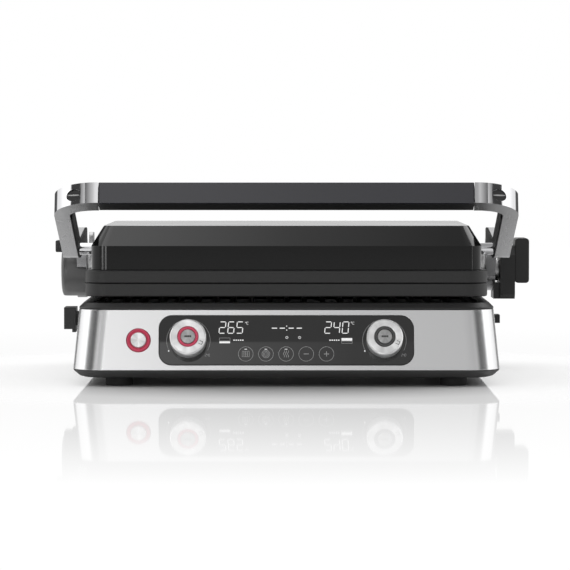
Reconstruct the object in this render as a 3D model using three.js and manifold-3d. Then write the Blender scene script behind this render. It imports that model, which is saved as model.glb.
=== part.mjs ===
// Contact grill (panini press): a base with a slanted control panel, a floating upper housing,
// and a U-shaped handle that swings on two rear hinges.
//
// Millimetres. While modelling, x = 0 is the grill's mid-plane, y = 0 is the front edge of the
// handle and runs backwards, and z = 0 is the surface it stands on. The finished group is moved
// at the end, so that the origin is the middle of its footprint.
import * as THREE from 'three';
import { mergeVertices } from 'three/addons/utils/BufferGeometryUtils.js';
import Module from 'manifold-3d';

const wasm = await Module();
wasm.setup();

const DEG = Math.PI / 180;

// ---------------------------------------------------------------- driving dimensions
const GAP = 0.3; // between touching pieces
const PAST = 1; // how far a cutter runs past the face it cuts
const CORNER_STEPS = 5; // straight steps in a rounded plan corner

const BASE = {
  bottom: 14.3,
  top: 65.2,
  halfWidthBottom: 183.5,
  halfWidthTop: 179,
  frontBottom: 3,
  back: 320,
  corner: 28,
  wall: 2.5,
  steelEnd: 290, // the steel wraps the front and sides as far back as this
};
const PAN = { bottom: 7.4, top: 14, chamfer: 10.4, wall: 2.2 };
const FOOT = { radius: 12, height: 7.1, x: 143.8, front: 30, back: 290 };
const FRAME = { bottom: 65.5, shoulder: 66.8, top: 71, slope: 4.3 };

const PLATE = { halfWidth: 165, front: 37, back: 263, corner: 10 };
const LOWER = { plateBottom: 60, plateTop: 64, rimTop: 69, ribTop: 70, element: 54, reflector: 48 };
const UPPER = { plateBottom: 83, plateTop: 87, rimBottom: 78, ribBottom: 77, element: 91, reflector: 97.5 };
const RIB = { width: 5, pitch: 16, count: 19, front: 46, back: 246 };

const PANEL = { tilt: 16.5 * DEG, z: 39.6, halfWidth: 108.6, height: 43.2, corner: 11 };
const POWER = { x: -126.4, ring: 10, button: 7.1 };
const KNOB = { x: 83.7, y: -0.4, radius: 15.5, length: 16, ring: 8.6, button: 6.2 };

const SKIRT = { halfWidth: 173.5, front: 25, back: 275, corner: 20, bottom: 76, seam: 87.5, top: 98.8 };
const COVER = {
  halfWidth: 168.5,
  front: 32,
  back: 268,
  corner: 15,
  bottom: 99.1,
  wallTop: 119.5,
  top: 136.5,
};
const COVER_TOP = { halfWidth: 158, front: 50, back: 252, corner: 9 };

const HANDLE = { tilt: 19 * DEG, frontZ: 157.2, height: 18.3, depth: 21.5, halfWidth: 160 };
const BAIL = { outer: 199.7, inner: 186.3, corner: 37, capEnd: 46 };
const PIVOT = { y: 144.8, z: 113.8, radius: 5.25 };
const HINGE = { y: 300, z: 89, pin: 5, hub: 19 };
const HUB_OUTER = 195.3; // the arm is thinner than at the front from here back
const LINER = { inner: 184.8, outer: 186 };
const PILLAR = { inner: 176.8, outer: 184.4, front: 280, back: 318, top: 108 };
const PILLAR_LEG = { inner: 150, outer: 165, back: 298 };
const TRAY = { left: -140, right: 176.5, front: 222, back: 277, bottom: 19, top: 44, wall: 2 };

// ---------------------------------------------------------------- materials
const finish = (color, roughness, metalness) => (
  () => new THREE.MeshStandardMaterial({ color, roughness, metalness })
);
const brushedSteel = finish(0xb9b9b9, 0.32, 1);
const satinMetal = finish(0x9a9b9d, 0.38, 1);
const polishedMetal = finish(0xd8d9db, 0.08, 1);
const blackPlastic = finish(0x1b1b1d, 0.45, 0);
const softBlack = finish(0x26272a, 0.35, 0);
const handleBlack = finish(0x2c2f36, 0.3, 0);
const blackGlass = finish(0x0c0c0e, 0.06, 0);
const litRed = finish(0xe0405a, 0.4, 0);
const darkRing = finish(0x55575a, 0.4, 0.5);
const rubber = finish(0x141414, 0.85, 0);
const castPlate = finish(0x303032, 0.55, 0.4);
const tinnedSheet = finish(0xa7a9ab, 0.4, 1);
const elementSteel = finish(0x6e6a66, 0.5, 1);
const circuitGreen = finish(0x1f5a3a, 0.6, 0);

// ---------------------------------------------------------------- shapes and solids
const range = (count) => [...Array(count).keys()];

/** A rounded rectangle in plan, anticlockwise from its rear right corner. */
function planLoop({ halfWidth, front, back, corner }) {
  const centres = [
    [halfWidth - corner, back - corner],
    [corner - halfWidth, back - corner],
    [corner - halfWidth, front + corner],
    [halfWidth - corner, front + corner],
  ];
  return centres.flatMap(([x, y], quarter) => range(CORNER_STEPS + 1).map((step) => {
    const angle = (quarter + step / CORNER_STEPS) * 90 * DEG;
    return new THREE.Vector2(x + corner * Math.cos(angle), y + corner * Math.sin(angle));
  }));
}

/** A closed body through plan outlines at rising heights. */
function loft(sections) {
  const loops = sections.map(planLoop);
  const size = loops[0].length;
  const points = loops.flatMap((loop, level) => loop.map((p) => [p.x, p.y, sections[level].z]));
  const indices = [];
  range(loops.length - 1).forEach((level) => range(size).forEach((i) => {
    const [a, b] = [level * size + i, level * size + (i + 1) % size];
    indices.push(a, b, b + size, a, b + size, a + size);
  }));
  const last = (loops.length - 1) * size;
  THREE.ShapeUtils.triangulateShape(loops[0], []).forEach(([a, b, c]) => indices.push(a, c, b));
  THREE.ShapeUtils.triangulateShape(loops.at(-1), []).forEach(([a, b, c]) => {
    indices.push(last + a, last + b, last + c);
  });
  const geometry = new THREE.BufferGeometry();
  geometry.setAttribute('position', new THREE.Float32BufferAttribute(points.flat(), 3));
  geometry.setIndex(indices);
  return solid(geometry);
}

/** A manifold solid from a closed three.js geometry, with its seams and poles welded. */
function solid(geometry) {
  const bare = geometry.clone();
  bare.deleteAttribute('normal');
  bare.deleteAttribute('uv');
  const welded = mergeVertices(bare, 1e-4);
  const index = welded.index.array;
  const triangles = [];
  for (let i = 0; i < index.length; i += 3) {
    const [a, b, c] = index.slice(i, i + 3);
    if (a !== b && b !== c && c !== a) {
      triangles.push(a, b, c);
    }
  }
  const vertProperties = Float32Array.from(welded.attributes.position.array);
  const triVerts = Uint32Array.from(triangles);
  return new wasm.Manifold(new wasm.Mesh({ numProp: 3, vertProperties, triVerts }));
}

function toGeometry(body) {
  const { vertProperties, triVerts } = body.getMesh();
  const geometry = new THREE.BufferGeometry();
  geometry.setAttribute('position', new THREE.BufferAttribute(vertProperties, 3));
  geometry.setIndex(new THREE.BufferAttribute(triVerts, 1));
  geometry.computeVertexNormals();
  return geometry;
}

const join = (first, ...others) => others.reduce((body, other) => body.add(other), first);
const cut = (first, ...cutters) => cutters.reduce((body, cutter) => body.subtract(cutter), first);

function block([x0, x1], [y0, y1], [z0, z1]) {
  const box = new THREE.BoxGeometry(Math.abs(x1 - x0), y1 - y0, z1 - z0);
  return solid(box.translate((x0 + x1) / 2, (y0 + y1) / 2, (z0 + z1) / 2));
}

/** A rod along x. */
function rod(radius, [x0, x1], y, z, sides = 16) {
  const cylinder = new THREE.CylinderGeometry(radius, radius, Math.abs(x1 - x0), sides);
  return solid(cylinder.rotateZ(90 * DEG).translate((x0 + x1) / 2, y, z));
}

/** A turned body round a local z axis, from its half profile of [radius, height] points. */
function turned(profile, sides = 24) {
  const points = profile.map(([radius, height]) => new THREE.Vector2(radius, height));
  return new THREE.LatheGeometry(points, sides).rotateX(90 * DEG);
}

/** A side-view outline in y and z, pushed out along x. */
function sidePrism(shape, [x0, x1], curveSegments = 8) {
  const settings = { depth: Math.abs(x1 - x0), bevelEnabled: false, curveSegments };
  const turn = new THREE.Matrix4().makeBasis(
    new THREE.Vector3(0, 1, 0),
    new THREE.Vector3(0, 0, 1),
    new THREE.Vector3(1, 0, 0),
  );
  const geometry = new THREE.ExtrudeGeometry(shape, settings).applyMatrix4(turn);
  return solid(geometry.translate(Math.min(x0, x1), 0, 0));
}

/** A plan outline pushed up along z. */
function plate(shape, z0, z1, curveSegments = 6) {
  const settings = { depth: z1 - z0, bevelEnabled: false, curveSegments };
  return new THREE.ExtrudeGeometry(shape, settings).translate(0, 0, z0);
}

function roundedShape(x0, x1, y0, y1, r) {
  const shape = new THREE.Shape();
  shape.moveTo(x0 + r, y0);
  shape.lineTo(x1 - r, y0);
  shape.absarc(x1 - r, y0 + r, r, -90 * DEG, 0);
  shape.lineTo(x1, y1 - r);
  shape.absarc(x1 - r, y1 - r, r, 0, 90 * DEG);
  shape.lineTo(x0 + r, y1);
  shape.absarc(x0 + r, y1 - r, r, 90 * DEG, 180 * DEG);
  shape.lineTo(x0, y0 + r);
  shape.absarc(x0 + r, y0 + r, r, 180 * DEG, 270 * DEG);
  return shape;
}

const polygon = (points) => new THREE.Shape(points.map(([x, y]) => new THREE.Vector2(x, y)));

/** An x range on the left (side = -1) or right (side = 1) of the mid-plane. */
const across = (side, inner, outer) => (side > 0 ? [inner, outer] : [-outer, -inner]);
const SIDES = [['left', -1], ['right', 1]];

const grill = new THREE.Group();

function piece(name, body, material, group = grill) {
  const geometry = body instanceof THREE.BufferGeometry ? toGeometry(solid(body)) : toGeometry(body);
  const mesh = new THREE.Mesh(geometry, material());
  mesh.name = name;
  group.add(mesh);
  return mesh;
}

// ---------------------------------------------------------------- groups that are tilted
const panel = new THREE.Group();
const PANEL_Y = BASE.frontBottom + (PANEL.z - BASE.bottom) * Math.tan(PANEL.tilt);
panel.position.set(0, PANEL_Y, PANEL.z);
panel.rotation.x = 90 * DEG - PANEL.tilt; // local z points out of the front face
panel.updateMatrix();
grill.add(panel);

const bail = new THREE.Group();
bail.position.set(0, 0, HANDLE.frontZ);
bail.rotation.x = -HANDLE.tilt; // local y runs back and down along the arms
bail.updateMatrix();
grill.add(bail);

/** A local point of the tilted handle frame as [y, z] in the grill's side view. */
function onBail(back, up) {
  return [
    back * Math.cos(HANDLE.tilt) + up * Math.sin(HANDLE.tilt),
    HANDLE.frontZ - back * Math.sin(HANDLE.tilt) + up * Math.cos(HANDLE.tilt),
  ];
}

// ---------------------------------------------------------------- base housing
/** The base's plan outline at height z, moved in by inset. */
function baseSection(z, inset = 0) {
  const rise = (z - BASE.bottom) / (BASE.top - BASE.bottom);
  return {
    z,
    halfWidth: THREE.MathUtils.lerp(BASE.halfWidthBottom, BASE.halfWidthTop, rise) - inset,
    front: BASE.frontBottom + (z - BASE.bottom) * Math.tan(PANEL.tilt) + inset,
    back: BASE.back - inset,
    corner: BASE.corner - inset,
  };
}

/** Moves a plan section in by inset on all sides, at a new height. */
function inward(section, inset, z) {
  return {
    z,
    halfWidth: section.halfWidth - inset,
    front: section.front + inset,
    back: section.back - inset,
    corner: section.corner - inset,
  };
}

const leverSlot = block([-190, -160], [89.6, 110.4], [47.6, 60.4]);
const traySlot = block(
  [150, 190],
  [TRAY.front - GAP, TRAY.back + GAP],
  [TRAY.bottom - GAP, TRAY.top + GAP],
);
const glassHole = plate(roundedShape(
  -PANEL.halfWidth - GAP,
  PANEL.halfWidth + GAP,
  -PANEL.height / 2 - GAP,
  PANEL.height / 2 + GAP,
  PANEL.corner + GAP,
), -8, 8);
const powerHole = turned([[0, -8], [POWER.ring + GAP, -8], [POWER.ring + GAP, 8], [0, 8]]);

const baseWall = cut(
  loft([baseSection(BASE.bottom), baseSection(BASE.top)]),
  loft([baseSection(BASE.bottom - PAST, BASE.wall), baseSection(BASE.top + PAST, BASE.wall)]),
);
const rearZone = block([-200, 200], [BASE.steelEnd, 340], [0, 90]);
const steelZone = block([-200, 200], [-20, BASE.steelEnd - GAP], [0, 90]);
piece('base_shell', cut(
  baseWall.intersect(steelZone),
  solid(glassHole.applyMatrix4(panel.matrix)),
  solid(powerHole.translate(POWER.x, 0, 0).applyMatrix4(panel.matrix)),
  leverSlot,
  traySlot,
), brushedSteel);

const inlet = { x: 120, z: 32, radius: 9 };
const rodAlongY = (radius, x, z, y0, y1) => {
  const cylinder = new THREE.CylinderGeometry(radius, radius, y1 - y0, 20);
  return solid(cylinder.translate(x, (y0 + y1) / 2, z));
};
const vents = range(10).map((i) => block([-104 + i * 12, -100 + i * 12], [310, 330], [24, 50]));
piece('rear_cover', cut(
  baseWall.intersect(rearZone),
  rodAlongY(inlet.radius - 2 + GAP, inlet.x, inlet.z, 310, 330),
  ...vents,
), blackPlastic);
piece('power_inlet_gland', cut(
  join(
    rodAlongY(inlet.radius, inlet.x, inlet.z, BASE.back + GAP, BASE.back + 5),
    rodAlongY(inlet.radius - 2, inlet.x, inlet.z, BASE.back - 8, BASE.back + 1),
  ),
  rodAlongY(4, inlet.x, inlet.z, BASE.back - 10, BASE.back + 8),
), blackPlastic);

const panTop = inward(baseSection(BASE.bottom), 0, PAN.top);
const panFloor = PAN.bottom + PAN.wall;
piece('base_pan', cut(
  loft([inward(panTop, PAN.chamfer, PAN.bottom), panTop]),
  loft([
    inward(panTop, PAN.chamfer + PAN.wall - 2, panFloor),
    inward(panTop, PAN.wall, PAN.top + PAST),
  ]),
), blackPlastic);

for (const [end, y] of [['front', FOOT.front], ['rear', FOOT.back]]) {
  for (const [name, side] of SIDES) {
    const foot = turned([
      [0, 0], [FOOT.radius - 1.2, 0], [FOOT.radius, 1.2], [FOOT.radius, FOOT.height], [0, FOOT.height],
    ], 20);
    piece(`foot_${end}_${name}`, foot.translate(side * FOOT.x, y, 0), rubber);
  }
}

const frameEdge = inward(baseSection(BASE.top), 0, FRAME.bottom);
const pillarNotch = (side) => block(
  across(side, PILLAR_LEG.inner - GAP, 190),
  [PILLAR.front - GAP, BASE.back + PAST],
  [FRAME.bottom - PAST, FRAME.top + PAST],
);
const plateHole = (inset, z0, z1) => loft([
  inward(PLATE, inset, z0),
  inward(PLATE, inset, z1),
]);
piece('base_top_frame', cut(
  loft([
    frameEdge,
    inward(frameEdge, 0, FRAME.shoulder),
    inward(frameEdge, FRAME.slope, FRAME.top),
  ]),
  plateHole(-1, FRAME.bottom - PAST, FRAME.top + PAST),
  pillarNotch(-1),
  pillarNotch(1),
), blackPlastic);

// ---------------------------------------------------------------- control panel
const circle = (x, y, r) => new THREE.Path().absarc(x, y, r, 0, 360 * DEG);

function glass() {
  const shape = roundedShape(
    -PANEL.halfWidth,
    PANEL.halfWidth,
    -PANEL.height / 2,
    PANEL.height / 2,
    PANEL.corner,
  );
  SIDES.forEach(([, side]) => shape.holes.push(circle(side * KNOB.x, KNOB.y, 4.6)));
  return plate(shape, -2.6, 0.4);
}
piece('control_glass', glass(), blackGlass, panel);

function carrier() {
  const shape = roundedShape(-140, 140, -21, 21, 4);
  SIDES.forEach(([, side]) => shape.holes.push(circle(side * KNOB.x, KNOB.y, 4.6)));
  shape.holes.push(circle(POWER.x, 0, POWER.button - 3));
  return plate(shape, -5.8, -2.9);
}
piece('panel_carrier', carrier(), blackPlastic, panel);
piece('display_module', plate(roundedShape(-70, 70, -19, 18, 2), -13.6, -6.1), blackPlastic, panel);

const controlBoard = plate(roundedShape(-135, 110, -18, 17, 2), -15.6, -14);
piece('control_board', controlBoard, circuitGreen, panel);

SIDES.forEach(([name, side]) => {
  const shaft = turned([[0, -8], [3, -8], [3, 8.8], [0, 8.8]], 16);
  const housing = plate(roundedShape(-7, 7, -7, 7, 1.5), -13.6, -6.1);
  const body = join(solid(housing), solid(shaft));
  const at = [side * KNOB.x, KNOB.y, 0];
  piece(`encoder_${name}`, body.translate(at), tinnedSheet, panel);
});

const ringProfile = [
  [POWER.button, -2.4], [POWER.ring, -2.4], [POWER.ring, 0.5], [9, 1.1], [8, 1.1], [POWER.button, 0.5],
];
const closed = (profile) => [...profile, profile[0]];
piece('power_ring', turned(closed(ringProfile), 24).translate(POWER.x, 0, 0), litRed, panel);
const powerProfile = [[0, -1.4], [6.7, -1.4], [6.7, 1.3], [5.8, 2], [0, 2]];
piece('power_button', turned(powerProfile, 24).translate(POWER.x, 0, 0), satinMetal, panel);

const knobProfile = [
  [3.4, 0.8], [15, 0.8], [KNOB.radius, 1.6], [KNOB.radius, 14.6], [14.4, KNOB.length],
  [KNOB.ring + GAP, KNOB.length], [KNOB.ring + GAP, 11], [3.4, 11],
];
const knobRingProfile = [
  [KNOB.button + GAP, 11.3], [KNOB.ring, 11.3], [KNOB.ring, 16], [KNOB.button + GAP, 16],
];
const knobButtonProfile = [
  [0, 13.1], [KNOB.button, 13.1], [KNOB.button, 16], [5.6, 16.6], [0, 16.6],
];
const pointerNotch = block([-0.8, 0.8], [11.4, 13.6], [15, 18]);
SIDES.forEach(([name, side]) => {
  const at = [side * KNOB.x, KNOB.y, 0];
  const knob = cut(solid(turned(closed(knobProfile), 32)), pointerNotch.rotate([0, 0, -116]));
  piece(`knob_${name}`, knob.translate(at), satinMetal, panel);
  const ring = turned(closed(knobRingProfile), 24).translate(...at);
  piece(`knob_ring_${name}`, ring, side < 0 ? litRed : darkRing, panel);
  const button = turned(knobButtonProfile, 24).translate(...at);
  piece(`knob_button_${name}`, button, satinMetal, panel);
});

// ---------------------------------------------------------------- cooking plates and heaters
/** A ribbed plate: a slab, a rim on its cooking side and ribs running front to back. */
function ribbedPlate(slab, rim, ribs) {
  const level = (z, inset) => inward(PLATE, inset, z);
  const slabBody = loft([level(slab[0], 0), level(slab[1], 0)]);
  const rimBody = cut(
    loft([level(rim[0], 0), level(rim[1], 0)]),
    loft([level(rim[0] - PAST, 5), level(rim[1] + PAST, 5)]),
  );
  const bars = range(RIB.count).map((i) => {
    const x = (i - (RIB.count - 1) / 2) * RIB.pitch;
    return block([x - RIB.width / 2, x + RIB.width / 2], [RIB.front, RIB.back], ribs);
  });
  return join(slabBody, rimBody, ...bars);
}
const overlap = 0.5; // how far joined bodies run into each other
piece('lower_cooking_plate', ribbedPlate(
  [LOWER.plateBottom, LOWER.plateTop],
  [LOWER.plateTop - overlap, LOWER.rimTop],
  [LOWER.plateTop - overlap, LOWER.ribTop],
), castPlate);
piece('upper_cooking_plate', ribbedPlate(
  [UPPER.plateBottom, UPPER.plateTop],
  [UPPER.rimBottom, UPPER.plateBottom + overlap],
  [UPPER.ribBottom, UPPER.plateBottom + overlap],
), castPlate);

/** A heating rod bent into a long loop whose two ends stand at the rear. */
function heatingElement(z) {
  const path = new THREE.CurvePath();
  const [left, right, front, back, bend] = [-120, 120, 75, 225, 30];
  const corner = (x0, y0, cx, cy, x1, y1) => new THREE.QuadraticBezierCurve3(
    new THREE.Vector3(x0, y0, z),
    new THREE.Vector3(cx, cy, z),
    new THREE.Vector3(x1, y1, z),
  );
  const line = (x0, y0, x1, y1) => new THREE.LineCurve3(
    new THREE.Vector3(x0, y0, z),
    new THREE.Vector3(x1, y1, z),
  );
  path.add(line(-20, back, left + bend, back));
  path.add(corner(left + bend, back, left, back, left, back - bend));
  path.add(line(left, back - bend, left, front + bend));
  path.add(corner(left, front + bend, left, front, left + bend, front));
  path.add(line(left + bend, front, right - bend, front));
  path.add(corner(right - bend, front, right, front, right, front + bend));
  path.add(line(right, front + bend, right, back - bend));
  path.add(corner(right, back - bend, right, back, right - bend, back));
  path.add(line(right - bend, back, 20, back));
  const section = polygon(range(6).map((i) => [
    3.2 * Math.cos(i * 60 * DEG),
    3.2 * Math.sin(i * 60 * DEG),
  ]));
  return new THREE.ExtrudeGeometry(section, { steps: 36, bevelEnabled: false, extrudePath: path });
}
piece('lower_heating_element', heatingElement(LOWER.element), elementSteel);
piece('upper_heating_element', heatingElement(UPPER.element), elementSteel);

const lowerPan = inward(PLATE, -2.2, LOWER.reflector);
piece('lower_reflector', cut(
  loft([lowerPan, inward(lowerPan, 0, BASE.top)]),
  loft([
    inward(lowerPan, 1.2, LOWER.reflector + 1.2),
    inward(lowerPan, 1.2, BASE.top + PAST),
  ]),
), tinnedSheet);
const upperPan = inward(PLATE, 1.5, UPPER.reflector);
piece('upper_reflector', cut(
  loft([inward(upperPan, 0, UPPER.plateTop + 1), upperPan]),
  loft([
    inward(upperPan, 1.5, UPPER.plateTop),
    inward(upperPan, 1.5, UPPER.reflector - 1.5),
  ]),
), tinnedSheet);
const sensorProfile = [[0, 49.8], [9, 49.8], [9, 53], [5, 55], [5, 59.6], [0, 59.6]];
piece('lower_temperature_sensor', turned(sensorProfile, 20).translate(0, 150, 0), tinnedSheet);

const boardParts = [
  block([-150, -60], [120, 200], [20, 21.8]),
  block([-144, -112], [128, 164], [21.5, 42]),
  block([-104, -90], [130, 190], [21.5, 40]),
  block([-80, -66], [136, 158], [21.5, 34]),
];
piece('power_board', join(...boardParts), circuitGreen);

// ---------------------------------------------------------------- pieces that move in the base
piece('lower_release_lever', join(
  block([-195, -184.7], [86, 114], [45, 64]),
  block([-188, -184.7], [88, 112], [42.2, 46]),
  block([-185.5, -171], [90, 110], [48, 60]),
), blackPlastic);

const trayFlange = [183.9, 186.5];
piece('drip_tray', cut(
  join(
    block([TRAY.left, 184.5], [TRAY.front, TRAY.back], [TRAY.bottom, TRAY.top]),
    block(trayFlange, [TRAY.front - 2, TRAY.back + 2], [TRAY.bottom - 1, TRAY.top + 6]),
    block([185.5, 197.5], [246, 266], [42, 49.6]),
  ),
  block(
    [TRAY.left + TRAY.wall, TRAY.right],
    [TRAY.front + TRAY.wall, TRAY.back - TRAY.wall],
    [TRAY.bottom + TRAY.wall, TRAY.top + PAST],
  ),
), blackPlastic);

// ---------------------------------------------------------------- hinge pillars and pins
SIDES.forEach(([name, side]) => {
  const column = roundedShape(PILLAR.front, PILLAR.back, FRAME.bottom + 0.2, PILLAR.top, 9);
  piece(`hinge_pillar_${name}`, cut(
    join(
      block(
        across(side, PILLAR_LEG.inner, PILLAR_LEG.outer),
        [PILLAR.front, PILLAR_LEG.back],
        [panFloor + GAP, 71],
      ),
      block(
        across(side, PILLAR_LEG.inner, PILLAR.outer),
        [PILLAR.front, PILLAR.back],
        [FRAME.bottom + 0.2, 71],
      ),
      sidePrism(column, across(side, PILLAR.inner, PILLAR.outer)),
    ),
    rod(HINGE.pin + GAP, across(side, 150, 190), HINGE.y, HINGE.z),
  ), satinMetal);
  const pin = rod(HINGE.pin, across(side, 174, 199), HINGE.y, HINGE.z);
  const pinHead = rod(7, across(side, 173.6, 176.5), HINGE.y, HINGE.z);
  piece(`hinge_pin_${name}`, join(pin, pinHead), satinMetal);
});

// ---------------------------------------------------------------- handle and arms
piece('handle_grip', cut(
  solid(plate(roundedShape(
    -HANDLE.halfWidth,
    HANDLE.halfWidth,
    0,
    HANDLE.depth,
    1.2,
  ), 0, HANDLE.height, 2)),
  block([-170, 170], [3.3, 30], [-PAST, 4.3]),
), handleBlack, bail);
const underside = block([-159.6, 159.6], [3.6, 21.2], [0.2, 4]);
piece('handle_underside', underside, softBlack, bail);

/** The polished corner in the plan of the tilted handle, on the right side. */
function cornerShape() {
  const centre = BAIL.outer - BAIL.corner;
  const inner = BAIL.inner - centre;
  const shape = new THREE.Shape();
  shape.moveTo(HANDLE.halfWidth + GAP, 0);
  shape.lineTo(centre, 0);
  shape.absarc(centre, BAIL.corner, BAIL.corner, -90 * DEG, 0);
  shape.lineTo(BAIL.outer, BAIL.capEnd);
  shape.lineTo(BAIL.inner, BAIL.capEnd);
  shape.lineTo(BAIL.inner, BAIL.corner);
  shape.absellipse(
    centre,
    BAIL.corner,
    inner,
    BAIL.corner - HANDLE.depth,
    0,
    -90 * DEG,
    true,
  );
  shape.lineTo(HANDLE.halfWidth + GAP, HANDLE.depth);
  return shape;
}

/** An oval rod that points out of the polished corner, on the right side. */
function ovalRod(grow, from, to) {
  const shape = new THREE.Shape();
  shape.absellipse(0, 0, 7 + grow, 4.8 + grow, 0, 360 * DEG);
  const yaw = 31 * DEG;
  const centre = BAIL.outer - BAIL.corner;
  const rodShape = plate(shape, from, to, 10).rotateX(90 * DEG).rotateZ(yaw);
  return solid(rodShape.translate(
    centre + BAIL.corner * Math.sin(yaw),
    BAIL.corner - BAIL.corner * Math.cos(yaw),
    HANDLE.height / 2 - 0.6,
  ));
}

/** The arm in side view, from the polished corner back to the hinge hub. */
function armShape(grow = 0) {
  const start = BAIL.capEnd + GAP;
  const shape = new THREE.Shape();
  shape.moveTo(...onBail(start, -grow));
  shape.lineTo(...onBail(150, -grow));
  shape.quadraticCurveTo(154.5, 103.4 - grow, 172, 106.4 - grow);
  shape.lineTo(238, 112 - grow);
  shape.quadraticCurveTo(262, 112 - grow, 281.5 - grow, 84 - grow);
  shape.absarc(HINGE.y, HINGE.z, HINGE.hub + grow, 195 * DEG, 435 * DEG);
  shape.quadraticCurveTo(288, 124 + grow, 258, 129.8 + grow);
  shape.quadraticCurveTo(250, 131.2 + grow, 240, 129.8 + grow);
  shape.lineTo(172, 122.6 + grow);
  shape.quadraticCurveTo(160, 121.4 + grow, ...onBail(150, HANDLE.height + grow));
  shape.lineTo(...onBail(start, HANDLE.height + grow));
  return shape;
}

const NECK_START = 262; // the arm's outer part ends here, in front of the hinge covers
SIDES.forEach(([name, side]) => {
  const facing = side > 0 ? [1, 1, 1] : [-1, 1, 1];
  const corner = cut(solid(plate(cornerShape(), 0, HANDLE.height, 8)), ovalRod(GAP, -3, 5));
  piece(`arm_cap_${name}`, corner.scale(facing), polishedMetal, bail);
  const plug = ovalRod(0, -2.7, -0.8).scale(facing);
  piece(`cap_plug_${name}`, plug, blackPlastic, bail);

  piece(`arm_${name}`, cut(
    sidePrism(armShape(), across(side, BAIL.inner, BAIL.outer)),
    block(across(side, HUB_OUTER, 205), [NECK_START, 340], [50, 150]),
    rod(PIVOT.radius + GAP, across(side, 180, 192), PIVOT.y, PIVOT.z),
    rod(HINGE.pin + GAP, across(side, 180, 205), HINGE.y, HINGE.z),
  ), satinMetal);
  piece(`arm_liner_${name}`, cut(
    sidePrism(armShape(), across(side, LINER.inner, LINER.outer)),
    block(across(side, 180, 190), [NECK_START, 340], [50, 150]),
    rod(PIVOT.radius + GAP, across(side, 180, 190), PIVOT.y, PIVOT.z),
  ), blackPlastic);
  const pivot = rod(PIVOT.radius, across(side, 157, 191.5), PIVOT.y, PIVOT.z);
  piece(`pivot_shaft_${name}`, pivot, polishedMetal);
});

const hubPocket = (side) => join(
  rod(HINGE.hub + GAP, across(side, 180, HUB_OUTER + GAP), HINGE.y, HINGE.z, 32),
  sidePrism(armShape(GAP), across(side, 180, HUB_OUTER + GAP)),
);
const pinPocket = (side) => rod(HINGE.pin + GAP, across(side, 180, 200), HINGE.y, HINGE.z);

const releaseButton = { front: 289, back: 309, bottom: 106.2, top: 117.2, outer: 216.5, inner: 206 };
const buttonPocket = block(
  [-220, -201.5],
  [releaseButton.front - GAP, releaseButton.back + GAP],
  [releaseButton.bottom - GAP, 130],
);
const barrelProfile = [
  [0, 187], [25.5, 187], [25.5, 204], [24.4, 208], [21, 210.2], [16, 210.7], [0, 210.7],
];
const barrel = turned(barrelProfile, 28).rotateY(-90 * DEG).translate(0, HINGE.y, HINGE.z);
piece('hinge_cover_left', cut(
  solid(barrel),
  hubPocket(-1),
  pinPocket(-1),
  buttonPocket,
), blackPlastic);
piece('hinge_release_button', block(
  [-releaseButton.outer, -releaseButton.inner],
  [releaseButton.front, releaseButton.back],
  [releaseButton.bottom, releaseButton.top],
), blackPlastic);

const washerRange = [195.7, 199.3];
piece('hinge_washer_right', cut(
  rod(9.8, washerRange, HINGE.y, HINGE.z, 28),
  rod(HINGE.pin + GAP, [190, 205], HINGE.y, HINGE.z),
), polishedMetal);

const tongue = { front: 294, back: 306 };
const rightBody = polygon([
  [279, 63], [321, 63], [325, 67], [325, 104], [317, 112], [283, 112], [275, 104], [275, 67],
]);
piece('hinge_body_right', cut(
  join(
    sidePrism(rightBody, [199.7, 213.4]),
    block([193.6, 201], [280, 320], [63, 77.6]),
  ),
  hubPocket(1),
  block([208.4, 220], [tongue.front - GAP, tongue.back + GAP], [68, 120]),
), blackPlastic);

const lockSide = roundedShape(213.8, 227, 77.6, 119.4, 3);
const lock = plate(lockSide, 0, 36, 3).rotateX(90 * DEG).translate(0, 318, 0);
piece('height_lock_slider', join(
  solid(lock),
  block([208.8, 215], [tongue.front, tongue.back], [80, 110]),
), blackPlastic);

// ---------------------------------------------------------------- upper housing
const skirtLevel = (z, inset = 0) => inward(SKIRT, inset, z);
const ringBody = (levels, holeInset) => cut(
  loft(levels),
  plateHole(holeInset, levels[0].z - PAST, levels.at(-1).z + PAST),
);
piece('upper_frame', ringBody([
  skirtLevel(SKIRT.bottom, 1.2),
  skirtLevel(SKIRT.bottom + 1.2),
  skirtLevel(SKIRT.seam - 1),
  skirtLevel(SKIRT.seam, 1),
], -1), blackPlastic);
piece('upper_skirt', ringBody([
  skirtLevel(SKIRT.seam + GAP, 1),
  skirtLevel(SKIRT.seam + GAP + 1),
  skirtLevel(SKIRT.top - 1.5),
  skirtLevel(SKIRT.top, 1.5),
], 1), blackPlastic);

const coverLevel = (z, inset = 0) => inward(COVER, inset, z);
const coverTop = (z, inset = 0) => inward(COVER_TOP, inset, z);
const upperSlot = { front: 166, back: 184, bottom: 106, top: 115.2 };
const pivotHole = (side) => rod(PIVOT.radius + 2 * GAP, across(side, 155, 185), PIVOT.y, PIVOT.z);
piece('upper_cover', cut(
  loft([
    coverLevel(COVER.bottom),
    coverLevel(COVER.wallTop),
    coverTop(COVER.top - 0.8, -0.8),
    coverTop(COVER.top),
  ]),
  loft([
    coverLevel(COVER.bottom - PAST, 2.5),
    coverLevel(COVER.wallTop - 1, 2.5),
    coverTop(COVER.top - 2.8, 2.5),
  ]),
  block([-180, -150], [upperSlot.front, upperSlot.back], [upperSlot.bottom, upperSlot.top]),
  pivotHole(-1),
  pivotHole(1),
), blackPlastic);
piece('upper_release_lever', join(
  block(
    [-175, -160],
    [upperSlot.front + GAP, upperSlot.back - GAP],
    [upperSlot.bottom + GAP, upperSlot.top - GAP],
  ),
  sidePrism(roundedShape(upperSlot.front - 2, upperSlot.back + 2, 104, 128, 4), [-177.4, -173.8], 5),
), softBlack);

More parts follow.
